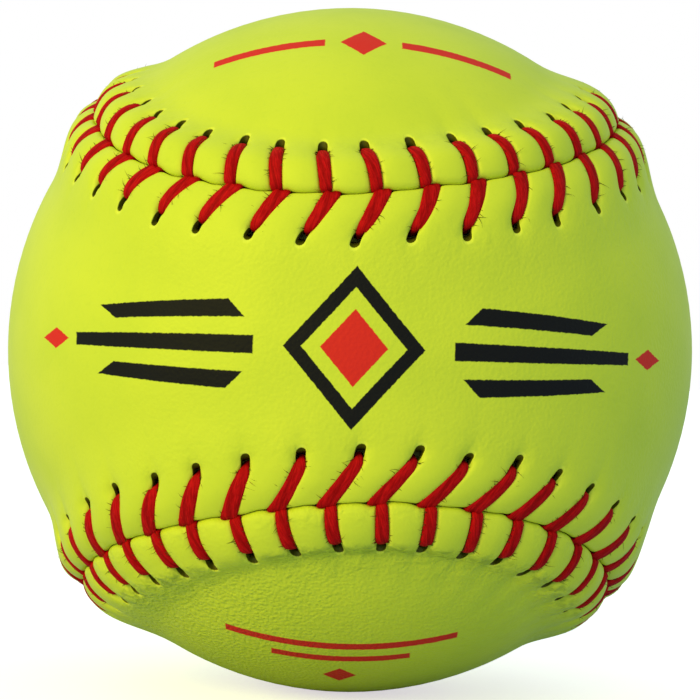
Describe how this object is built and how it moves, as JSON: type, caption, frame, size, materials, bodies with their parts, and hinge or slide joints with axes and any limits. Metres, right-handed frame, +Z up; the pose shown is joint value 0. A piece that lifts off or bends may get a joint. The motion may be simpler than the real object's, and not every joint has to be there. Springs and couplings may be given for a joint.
{
  "type": "softball",
  "caption": "Optic-yellow softball with a moulded core, two figure-eight cover panels and a raised seam laced in red thread.",
  "frame": {"origin": "middle of the ball", "axes": "+Z up, the waist of the front panel faces -Y, and the lobes of the back panel close the top and the bottom"},
  "size_m": [0.0954, 0.0959, 0.0954],
  "materials": {
    "core_foam": "matte, fine-celled polyurethane",
    "cover": "satin synthetic leather with a fine grain",
    "thread": "waxed two-ply cotton with a little fuzz"
  },
  "bodies": {
    "root": {"core": "core_foam", "cover_panel_front": "cover", "cover_panel_back": "cover", "thread_first_needle": "thread", "thread_second_needle": "thread"}
  },
  "joints": []
}
